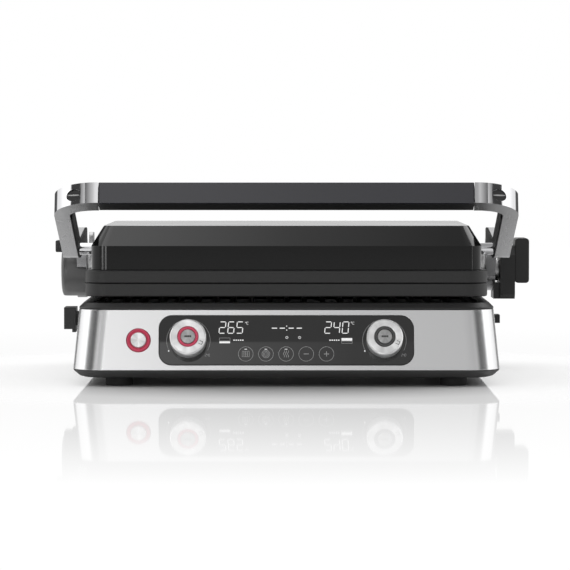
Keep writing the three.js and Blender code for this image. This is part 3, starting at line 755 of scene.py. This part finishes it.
button = turned("power_key_cap", [
    (0, -1.4), (6.7, -1.4), (6.7, 1.2), (6.5, 1.6), (6.0, 1.95), (5.4, 1.9), (3.0, 1.6), (0, 1.5),
], ON_PANEL @ Matrix.Translation((POWER["x"] * MM, 0, 0)))
dress(shade(button, 35), KNOB_FACE, "power_key", "power_button", slot="satin_metal")
POINTER = radians(116)  # clockwise from the top of the knob
for name, side in SIDES:
    at = (side * KNOB["x"], KNOB["y"], 0)
    axle = ON_PANEL @ Matrix.Translation(Vector(at) * MM)
    top, radius = KNOB["length"], KNOB["radius"]
    knob = turned(f"knob_{name}_body", [
        (3.4, 0.8), (15.0, 0.8), (15.3, 1.2), (radius, 1.7), (radius, 14.5), (15.2, 14.95),
        (14.7, 15.55), (14.35, 15.85), (14.0, top), (9.6, top), (9.1, 15.8), (8.9, 15.4),
        (8.9, 11), (3.4, 11),
    ], axle, sides=120, closed=True)
    turn = axle @ Matrix.Rotation(-POINTER, 4, "Z")
    cut(knob, flat_prism("notch", rounded(-0.8, 0.8, 11.4, 13.6, 0.6, 4), 15.7, 18, turn))
    dress(shade(knob, 30), [KNOB_SIDE, KNOB_FACE], f"{name}_knob", f"knob_{name}", slot="satin_metal")
    paint_faces(knob, 1, lambda c, n: n.z > 0.75 and c.z > 14)
    halo = turned(f"knob_{name}_light_ring", [
        (6.5, 11.3), (8.6, 11.3), (8.6, 15.6), (8.3, 16.0), (6.8, 16.0), (6.5, 15.7),
    ], axle, sides=96, closed=True)
    tint, tint_slot = (RED, "lit_red") if side < 0 else (DARK_RING, "dark_ring")
    dress(shade(halo, 35), tint, f"{name}_knob", f"knob_ring_{name}", slot=tint_slot)
    key = turned(f"knob_{name}_key", [
        (0, 13.1), (6.2, 13.1), (6.2, 16.0), (5.9, 16.4), (5.4, 16.6), (0, 16.6),
    ], axle, sides=96)
    dress(shade(key, 30), KEY_FACE, f"{name}_knob_button", f"knob_button_{name}", slot="satin_metal")

    # A dark stroke round three sides of the knob's notch: a painted shadow of the notch.
    c, s = cos(-POINTER), sin(-POINTER)
    corners = [(-1.3, 10.6), (-1.3, 13.5), (1.3, 13.5), (1.3, 10.6)]
    notch_shadow_outline = [(at[0] + x * c - y * s, at[1] + x * s + y * c) for x, y in corners]
    notch_shadow = Marks().stroke(notch_shadow_outline, 0.45).make(f"knob_{name}_pointer", INK_AND_PAINTED_SHADOW, (15.98, 16.02))
    dress(notch_shadow, INK_AND_PAINTED_SHADOW, f"{name}_knob")
    badge = Marks()
    for i in range(4):
        badge.bar(at[0] - 2.9 + i * 1.5, at[0] - 1.6 + i * 1.5, at[1] - 0.8, at[1] + 0.8)
    dress(badge.make(f"knob_{name}_key_mark", INK_AND_PAINTED_SHADOW, (16.58, 16.63)), INK_AND_PAINTED_SHADOW, f"{name}_knob_button")

# ------------------------------------------------------------------ cooking plates
RIBS = [(i - 9) * 16.0 for i in range(19)]


def ribbed_plate(name, slab, rim, ribs, body, node):
    """slab, rim and ribs are z ranges; ribs run front to back on the cooking side."""
    plate = loft(name, [(PLATE, slab[0], 0), (PLATE, slab[1], 0)])
    edge = cut(
        loft("edge", [(PLATE, rim[0], 0), (PLATE, rim[1], 0)]),
        loft("hollow", [(PLATE, rim[0] - 1, 5), (PLATE, rim[1] + 1, 5)]),
    )
    up = ribs[1] > slab[1]
    root, tip = (ribs[0], ribs[1]) if up else (ribs[1], ribs[0])
    bars = []
    for x in RIBS:
        section = [(x - 2.5, root), (x + 2.5, root), (x + 1.9, tip), (x - 1.9, tip)]
        if not up:
            section.reverse()
        bars.append(skin("rib", [[(px, y, pz) for px, pz in section[::-1]] for y in (46, 246)]))
    join(plate, edge, *bars)
    return dress(soften(plate, 0.45, 2), CAST, body, node, slot="cast_plate")


ribbed_plate("lower_ribbed_plate", (60, 64), (63.5, 69), (63.5, 70), "base", "lower_cooking_plate")
ribbed_plate("upper_ribbed_plate", (83, 87), (78, 83.5), (77, 83.5), "upper_housing", "upper_cooking_plate")

# ------------------------------------------------------------------ pieces that move in the base
lever = join(
    block("lower_release_key", (-195, -184.7), (86, 114), (45, 64)),
    block("step", (-188, -184.7), (88, 112), (42.2, 46)),
    block("stem", (-185.5, -171), (90, 110), (48, 60)),
)
dress(soften(lever, 1.2, 4), BLACK, "lower_release", "lower_release_lever", slot="black_plastic")

tray = cut(
    join(
        block("grease_tray", (-140, 184.5), (222, 277), (19, 44)),
        block("flange", (183.9, 186.5), (220, 279), (18, 50)),
        block("pull", (185.5, 197.5), (246, 266), (42, 49.6)),
    ),
    flat_prism("hollow", rounded(-138, 176.5, 224, 275, 5), 21, 45),
)
dress(soften(tray, 0.7), BLACK, "tray", "drip_tray", slot="black_plastic")

# ------------------------------------------------------------------ hinge pillars and pins
for name, side in SIDES:
    column = rounded(280, 318, FRAME["bottom"] + 0.2, 108, 9)
    pillar = cut(
        join(
            block(f"hinge_post_{name}", across(side, 150, 165), (280, 298), (9.9, 71)),
            block("shoulder", across(side, 150, 184.4), (280, 318), (FRAME["bottom"] + 0.2, 71)),
            side_prism("column", column, side * 176.8, side * 184.4),
        ),
        pin_bore(side, 150, 190),
    )
    dress(soften(pillar, 0.6), HINGE_METAL, "base", f"hinge_pillar_{name}", slot="satin_metal")
    pin = join(
        rod(f"hinge_axle_{name}", HINGE["pin"], side * 174, side * 199, HINGE["y"], HINGE["z"], chamfer=0.6),
        rod("head", 7, side * 173.6, side * 176.5, HINGE["y"], HINGE["z"], chamfer=0.6),
    )
    dress(shade(pin, 30), HINGE_METAL, "base", f"hinge_pin_{name}", slot="satin_metal")

# ------------------------------------------------------------------ handle and arms
def on_bail(back, up):
    """A point of the tilted handle as (y, z) in the grill's side view."""
    c, s = cos(HANDLE["tilt"]), sin(HANDLE["tilt"])
    return (back * c + up * s, HANDLE["z"] - back * s + up * c)


grip = cut(
    flat_prism("handle_bar", rounded(-160, 160, 0, HANDLE["depth"], 1.2, 4), 0, HANDLE["height"], ON_BAIL),
    block("rebate", (-170, 170), (3.3, 30), (-1, 4.3), ON_BAIL),
)
dress(soften(grip, 0.5, 4), HANDLE_BLUE, "arms", "handle_grip", slot="handle_black")
under = block("handle_underside_strip", (-160, 160), (3.6, 21.2), (0.2, 4), ON_BAIL)
dress(soften(under, 0.3), BLACK, "arms", "handle_underside", slot="cover_black")


def corner_outline():
    centre = BAIL["outer"] - BAIL["corner"]
    start = HANDLE["half"] - 3
    inner_x, inner_y = BAIL["inner"] - centre, BAIL["corner"] - HANDLE["depth"]
    inner = arc(centre, BAIL["corner"], inner_x, 0, -90, 24, inner_y / inner_x)
    return (
        [(start, 0)]
        + arc(centre, BAIL["corner"], BAIL["corner"], -90, 0, 32)
        + [(BAIL["outer"], BAIL["cap_end"]), (BAIL["inner"], BAIL["cap_end"])]
        + inner
        + [(start, HANDLE["depth"])]
    )


def oval(name, side, grow, z0, z1):
    """An oval rod that points out of the polished corner."""
    yaw, centre = radians(31), BAIL["outer"] - BAIL["corner"]
    at = (
        side * (centre + BAIL["corner"] * sin(yaw)) * MM,
        (BAIL["corner"] - BAIL["corner"] * cos(yaw)) * MM,
        (HANDLE["height"] / 2 - 0.6) * MM,
    )
    turn = Matrix.Rotation(side * yaw, 4, "Z") @ Matrix.Rotation(radians(90), 4, "X")
    outline = arc(0, 0, 7 + grow, 0, 360, 48, (4.8 + grow) / (7 + grow))[:-1]
    return flat_prism(name, outline, z0, z1, ON_BAIL @ Matrix.Translation(at) @ turn)


def arm_outline(grow=0.0):
    start = BAIL["cap_end"] + GAP
    hub, y, z = HINGE["hub"], HINGE["y"], HINGE["z"]
    front, rear = on_bail(150, -grow), on_bail(150, HANDLE["height"] + grow)
    points = [on_bail(start, -grow), front]
    points += curve(front, (154.5, 103.4 - grow), (172, 106.4 - grow))
    points += [(238, 112 - grow)]
    points += curve((238, 112 - grow), (262, 112 - grow), (281.5 - grow, 84 - grow))
    points += arc(y, z, hub + grow, 195, 435, 40)
    points += curve(points[-1], (288, 124 + grow), (258, 129.8 + grow))
    points += curve((258, 129.8 + grow), (250, 131.2 + grow), (240, 129.8 + grow), 6)
    points += [(172, 122.6 + grow)]
    points += curve((172, 122.6 + grow), (160, 121.4 + grow), rear)
    return points + [on_bail(start, HANDLE["height"] + grow)]


for name, side in SIDES:
    corner = cut(
        flat_prism(
            f"polished_corner_{name}", sided(corner_outline(), side), 0, HANDLE["height"], ON_BAIL,
        ),
        oval("pocket", side, GAP, -3, 5),
    )
    seam = block("seam", across(side, 140, HANDLE["half"] + GAP), (-5, 30), (-5, 30), ON_BAIL)
    cut(soften(corner, 1.1, 4), seam)
    dress(shade(corner), [POLISHED, ARM_METAL], "arms", f"arm_cap_{name}", slot="polished_metal")
    paint_faces(corner, 1, lambda c, n: n.z < -0.8)
    plug = oval(f"corner_plug_{name}", side, 0, -2.7, -0.8)
    dress(soften(plug, 0.4), BLACK, "arms", f"cap_plug_{name}", slot="black_plastic")
    # A thin raised metal bar across the plug: it stands for the plug's slot, and its light metal is a
    # painted highlight along the slot.
    plug_highlight_bar = oval(f"corner_plug_highlight_bar_{name}", side, 0, -0.9, -0.55)
    for vertex in plug_highlight_bar.data.vertices:
        x, y = vertex.co.x / MM, vertex.co.y / MM
        vertex.co.x, vertex.co.y = (x * 0.9) * MM, (y * 0.13 + side * x * 0.12) * MM
    dress(shade(plug_highlight_bar, 30), SHEET, "arms")

    arm = cut(
        side_prism(f"arm_bar_{name}", arm_outline(), side * BAIL["inner"], side * BAIL["outer"]),
        block("neck", across(side, HUB_OUTER, 205), (NECK_START, 340), (50, 150)),
        pivot_bore(side, 180, 192),
        pin_bore(side, 180, 205),
    )
    dress(soften(arm, 0.8, 3), ARM_METAL, "arms", f"arm_{name}", slot="satin_metal")
    # A thin dull black strip along the arm's inner face, which keeps that face dark.
    liner = cut(
        side_prism(f"arm_inner_strip_{name}", arm_outline(), side * 184.8, side * 186),
        block("neck", across(side, 180, 190), (NECK_START, 340), (50, 150)),
        pivot_bore(side, 180, 190),
    )
    dress(soften(liner, 0.25, 2), ARM_INNER_BLACK, "arms", f"arm_liner_{name}", slot="black_plastic")
    shaft = rod(
        f"pivot_pin_{name}", PIVOT["radius"], side * 157, side * 191.5, PIVOT["y"], PIVOT["z"], chamfer=0.5,
    )
    dress(shade(shaft, 30), POLISHED, "arms", f"pivot_shaft_{name}", slot="polished_metal")


def hub_pocket(side):
    outer = side * (HUB_OUTER + GAP)
    return [
        rod("hub_pocket", HINGE["hub"] + GAP, side * 180, outer, HINGE["y"], HINGE["z"]),
        side_prism("arm_pocket", arm_outline(GAP), side * 180, outer),
    ]


# the turned barrel of the left hinge, whose local z axis points outwards
BARREL = (
    GRILL
    @ Matrix.Translation((0, HINGE["y"] * MM, HINGE["z"] * MM))
    @ Matrix.Rotation(radians(-90), 4, "Y")
)
barrel = cut(
    turned("hinge_barrel_left", [
        (0, 187), (25.1, 187), (25.5, 187.4), (25.5, 204), (25.1, 206.2), (24.4, 208), (23.0, 209.4),
        (21, 210.2), (18.6, 210.55), (16, 210.7), (0, 210.7),
    ], BARREL, sides=96),
    *hub_pocket(-1),
    pin_bore(-1, 180, 200),
    block("button_pocket", (-220, -201.5), (288.7, 309.3), (105.9, 130)),
    block("flat", (-212, -196), (270, 330), (60, 65.4)),
)
dress(soften(barrel, 0.4), BARREL_GREY, "arms", "hinge_cover_left", slot="black_plastic")
release = block("hinge_release_key", (-216.5, -206), (289, 309), (106.2, 117.2))
dress(soften(release, 1.4, 4), BLACK, "hinge_release", "hinge_release_button", slot="black_plastic")

washer = cut(
    rod("hinge_washer", 9.8, 195.7, 199.3, HINGE["y"], HINGE["z"], chamfer=0.4),
    pin_bore(1, 190, 205),
)
dress(shade(washer, 30), KNOB_SIDE, "arms", "hinge_washer_right", slot="polished_metal")

right_body = cut(
    join(
        side_prism("hinge_body_moulding", [
            (279, 63), (321, 63), (325, 67), (325, 104), (317, 112), (283, 112), (275, 104), (275, 67),
        ], 199.7, 213.4),
        block("inner_flange", (193.6, 201), (280, 320), (63, 77.6)),
    ),
    *hub_pocket(1),
    block("tongue_slot", (208.4, 220), (293.7, 306.3), (68, 120)),
)
dress(soften(right_body, 0.9, 4), HINGE_BLACK, "arms", "hinge_body_right", slot="black_plastic")

lock_outline = rounded(213.8, 227, 77.6, 119.4, 3, 5)
lock = join(
    skin("height_lock_key", [[(x, y, z) for x, z in lock_outline] for y in (318, 282)]),
    block("tongue", (208.8, 215), (294, 306), (80, 110)),
)
dress(soften(lock, 0.7, 3), HINGE_BLACK, "height_lock", "height_lock_slider", slot="black_plastic")

# ------------------------------------------------------------------ upper housing
SEAM = SKIRT_LEVELS["seam"]


def skirt_ring(name, levels, hole, material, node):
    body = loft(name, [(SKIRT, z, inset) for z, inset in levels])
    low, high = levels[0][0] - 1, levels[-1][0] + 1
    cut(body, loft("hole", [(PLATE, low, hole), (PLATE, high, hole)]))
    return dress(soften(body, 0.35, 2), material, "upper_housing", node, slot="black_plastic")


skirt_ring("upper_skirt_lower_band", [
    (76, 1.2), (76.4, 0.5), (77.2, 0), (SEAM - 1, 0), (SEAM - 0.3, 0.3), (SEAM, 1),
], -1, SKIRT_BLACK, "upper_frame")
skirt_ring("upper_skirt_band", [
    (SEAM + 0.3, 1), (SEAM + 0.7, 0.3), (SEAM + 1.3, 0), (97.3, 0), (98.3, 0.5), (98.8, 1.5),
], 1, SKIRT_BLACK, "upper_skirt")

slope = [
    (COVER, COVER_LEVELS["bottom"], 0), (COVER, COVER_LEVELS["wall"], 0),
    (COVER_TOP, COVER_LEVELS["top"] - 0.8, -0.8), (COVER_TOP, COVER_LEVELS["top"], 0),
]
cover = cut(
    loft("upper_cover_moulding", slope),
    loft("hollow", [(COVER, 98.1, 2.5), (COVER, 118.5, 2.5), (COVER_TOP, 133.7, 2.5)]),
    block("release_slot", (-180, -150), (166, 184), (106, 115.2)),
    *[pivot_bore(side, 155, 185, 0.6) for _, side in SIDES],
)
finishes = [COVER_BLACK, COVER_TOP_BLACK, COVER_WALL_BLACK]
dress(soften(cover, 0.5, 3, 25), finishes, "upper_housing", "upper_cover", slot="cover_black")
paint_faces(cover, 1, lambda c, n: n.z > 0.9)
paint_faces(cover, 2, lambda c, n: abs(n.z) < 0.1)

finger = rounded(164, 186, 104, 128, 4, 8)
release_lever = join(
    block("upper_release_key", (-175, -160), (166.3, 183.7), (106.3, 114.9)),
    side_prism("finger", finger, -177.4, -173.8),
)
dress(soften(release_lever, 0.6), HINGE_METAL, "upper_release", "upper_release_lever", slot="cover_black")

for name, side in SIDES:
    ear = rounded(PIVOT["y"] - 11, PIVOT["y"] + 11, 99.5, PIVOT["z"] + 8.6, 8)
    bracket = cut(
        join(
            side_prism(f"pivot_ear_{name}", ear, side * 158.5, side * 161.8),
            block("foot", across(side, 158.5, 165.4), (PIVOT["y"] - 11, PIVOT["y"] + 11), (99.5, 103)),
        ),
        pivot_bore(side, 150, 170),
    )
    dress(soften(bracket, 0.3, 2), SHEET, "upper_housing", f"pivot_bracket_{name}", slot="satin_metal")

# ------------------------------------------------------------------ CAD nodes that stay as they are
KEPT = {
    SHEET: (
        "encoder_left", "encoder_right", "lower_reflector", "upper_reflector", "lower_temperature_sensor",
    ),
    BLACK: ("panel_carrier", "display_module"),
    BOARD: ("control_board", "power_board"),
    ELEMENT: ("lower_heating_element", "upper_heating_element"),
}
for material, names in KEPT.items():
    for name in names:
        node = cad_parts[name]
        node.data.materials.clear()
        node.data.materials.append(material)

# ------------------------------------------------------------------ camera, light and floor
scene = bpy.context.scene
scene.view_settings.view_transform = "Standard"

camera = bpy.data.objects.new("camera", bpy.data.cameras.new("camera"))
scene.collection.objects.link(camera)
camera.location = (GRILL.translation.x, GRILL.translation.y - 2.82, 0.203)
camera.rotation_euler = (radians(90 - 2.35), 0, 0.000422)
camera.data.lens, camera.data.sensor_width = 209.6, 36
camera.data.clip_start, camera.data.clip_end = 0.05, 60
scene.camera = camera


def panel_light(name, corners, stops, axis, span):
    """A glowing sheet that the camera doesn't see, through (place, brightness) stops along axis."""
    paint = Paint(name, grey(0.0), 1.0)
    split = paint.node("ShaderNodeSeparateXYZ")
    paint.link(paint.node("ShaderNodeTexCoord").outputs["Object"], split.inputs[0])
    place = paint.node("ShaderNodeMapRange")
    place.inputs["From Min"].default_value, place.inputs["From Max"].default_value = span
    paint.link(split.outputs[axis], place.inputs["Value"])
    ramp = paint.node("ShaderNodeValToRGB")
    set_stops(ramp, stops)
    paint.link(place.outputs["Result"], ramp.inputs["Fac"])
    glow = paint.node("ShaderNodeEmission")
    paint.link(ramp.outputs["Color"], glow.inputs["Color"])
    paint.link(glow.outputs[0], paint.tree.nodes["Material Output"].inputs["Surface"])
    sheet = new_piece(name, corners, [(0, 1, 2, 3)])
    sheet.data.materials.append(paint.material)
    sheet.visible_camera = False
    sheet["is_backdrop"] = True
    return sheet


panel_light(
    "overhead_panel",
    [(-620, -700, 1250), (1300, -700, 1250), (1300, 1300, 1250), (-620, 1300, 1250)],
    [(0.0, 1.9), (0.25, 1.75), (0.5, 0.85), (0.75, 0.4), (1.0, 0.5)], "X", (-0.4, 0.4),
)
panel_light(
    "fore_panel",
    [(-1120, -1700, 1250), (1120, -1700, 1250), (1120, -700, 1250), (-1120, -700, 1250)],
    [(0.0, 0.15), (0.3, 0.8), (0.39, 1.2), (0.5, 0.8), (0.61, 0.45), (0.7, 0.75), (1.0, 0.15)],
    "X", (-1.12, 1.12),
)
panel_light(
    "front_panel",
    [(-640, -1700, 420), (420, -1700, 420), (420, -1700, 1012), (-640, -1700, 1012)],
    [(0.0, 1.7), (1.0, 0.75)], "X", (-0.28, 0.1),
)
panel_light(
    "rear_right_panel",
    [(560, 350, 1200), (1250, 350, 1200), (1250, 1250, 1200), (560, 1250, 1200)],
    [(0.0, 3.2), (1.0, 3.2)], "X", (0, 1),
)
STRIP = dict(low=2, high=200, brightness=7.0)
STRIPS = (("strip_a", -765, -1900, 180), ("strip_b", -1581, -1700, 260), ("strip_c", 1650, -1050, 60))
for name, x, y, half in STRIPS:
    low, high = STRIP["low"], STRIP["high"]
    panel_light(
        name, [(x - half, y, low), (x + half, y, low), (x + half, y, high), (x - half, y, high)],
        [(0.0, STRIP["brightness"]), (1.0, STRIP["brightness"])], "X", (-3, 3),
    )

world = bpy.data.worlds.new("studio")
scene.world = world
world.use_nodes = True
tree = world.node_tree


def wire(source, target):
    tree.links.new(source, target)


def maths(operation, first, second=None):
    node = tree.nodes.new("ShaderNodeMath")
    node.operation = operation
    for socket, value in zip(node.inputs, (first, second)):
        if isinstance(value, (int, float)):
            socket.default_value = value
        elif value is not None:
            wire(value, socket)
    return node.outputs[0]


def steps(source, stops):
    """A ramp from 0 to 1 in source, through (place, brightness) stops."""
    ramp = tree.nodes.new("ShaderNodeValToRGB")
    wire(source, ramp.inputs[0])
    set_stops(ramp, stops)
    return ramp.outputs[0]


direction = tree.nodes.new("ShaderNodeTexCoord").outputs["Generated"]
split = tree.nodes.new("ShaderNodeSeparateXYZ")
wire(direction, split.inputs[0])
forward = maths("MULTIPLY", split.outputs["Y"], -1)
side_angle = maths("ARCTAN2", maths("ABSOLUTE", split.outputs["X"]), forward)
around = maths("DIVIDE", side_angle, pi)
level = maths("MULTIPLY_ADD", split.outputs["Z"], 0.5)
level.node.inputs[2].default_value = 0.5


def between(first, second, factor):
    mix = tree.nodes.new("ShaderNodeMix")
    mix.data_type = "RGBA"
    wire(factor, mix.inputs["Factor"])
    wire(first, mix.inputs["A"])
    wire(second, mix.inputs["B"])
    return mix.outputs["Result"]


low_walls = steps(around, [
    (0.0, 0.42), (0.172, 0.42), (0.183, 0.06), (0.325, 0.06), (0.345, 1.3), (0.745, 1.15), (0.78, 0.1),
    (0.92, 0.1), (0.95, 1.1), (1.0, 1.1),
])
high_walls = steps(around, [
    (0.0, 0.62), (0.12, 0.66), (0.2, 0.85), (0.262, 0.4), (0.285, 0.07), (0.435, 0.07), (0.46, 1.8),
    (0.75, 1.5), (0.78, 0.12), (0.92, 0.12), (0.95, 1.1),
])
ceiling = steps(level, [(0.0, 1.0), (1.0, 1.0)])
room = between(low_walls, high_walls, steps(level, [(0.0, 0), (0.57, 0), (0.63, 1), (1.0, 1)]))
room = between(room, ceiling, steps(level, [(0.0, 0), (0.86, 0), (0.91, 1), (1.0, 1)]))
white = steps(level, [(0.0, 1.0), (1.0, 1.0)])
rays = tree.nodes.new("ShaderNodeLightPath")
wire(between(room, white, rays.outputs["Is Camera Ray"]), tree.nodes["Background"].inputs["Color"])


def floor_material():
    """White near the grill, where it takes shadows, and evenly bright further out."""
    paint = Paint("floor", grey(0.92), 0.6)
    place = paint.node("ShaderNodeTexCoord").outputs["Object"]
    reach = paint.node("ShaderNodeVectorMath", operation="DISTANCE")
    paint.link(place, reach.inputs[0])
    reach.inputs[1].default_value = (0, 0.158, 0)

    def ramp(stops):
        node = paint.node("ShaderNodeValToRGB")
        set_stops(node, stops)
        paint.link(reach.outputs["Value"], node.inputs["Fac"])
        return node.outputs["Color"]

    matt = paint.node("ShaderNodeBsdfDiffuse")
    tone = paint.node("ShaderNodeMapRange")
    tone.inputs["To Min"].default_value, tone.inputs["To Max"].default_value = 0.9, 0.93
    paint.link(paint.noise((1, 1, 1), 3, 2.0), tone.inputs["Value"])
    paint.link(tone.outputs["Result"], matt.inputs["Color"])
    occlusion = paint.node("ShaderNodeAmbientOcclusion")
    occlusion.inputs["Distance"].default_value = 0.2
    fill = paint.node("ShaderNodeEmission")
    strength = paint.node("ShaderNodeMath", operation="MULTIPLY")
    paint.link(occlusion.outputs["AO"], strength.inputs[0])
    strength.inputs[1].default_value = 0.3
    paint.link(strength.outputs[0], fill.inputs["Strength"])
    near = paint.node("ShaderNodeAddShader")
    paint.link(matt.outputs[0], near.inputs[0])
    paint.link(fill.outputs[0], near.inputs[1])
    far = paint.node("ShaderNodeEmission")
    far.inputs["Strength"].default_value = 1.02
    out = paint.node("ShaderNodeMixShader")
    paint.link(ramp([(0.0, 0), (0.2, 0), (0.42, 1), (1.0, 1)]), out.inputs["Fac"])
    paint.link(near.outputs[0], out.inputs[1])
    paint.link(far.outputs[0], out.inputs[2])
    gloss = paint.node("ShaderNodeBsdfGlossy")
    gloss.inputs["Roughness"].default_value = 0.03
    mirror = paint.node("ShaderNodeMixShader")
    shine = ramp([(0.0, 0.7), (0.17, 0.7), (0.3, 0.42), (0.58, 0.27), (0.95, 0.04), (1.0, 0.0)])
    paint.link(shine, mirror.inputs["Fac"])
    paint.link(out.outputs[0], mirror.inputs[1])
    paint.link(gloss.outputs[0], mirror.inputs[2])
    paint.link(mirror.outputs[0], paint.tree.nodes["Material Output"].inputs["Surface"])
    return paint.material


FLOOR_HALF = 4000
floor = new_piece("floor", [
    (-FLOOR_HALF, -FLOOR_HALF, 0), (FLOOR_HALF, -FLOOR_HALF, 0),
    (FLOOR_HALF, FLOOR_HALF, 0), (-FLOOR_HALF, FLOOR_HALF, 0),
], [(0, 1, 2, 3)])
floor.data.materials.append(floor_material())
floor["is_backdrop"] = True

# ------------------------------------------------------------------ size
low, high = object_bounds()
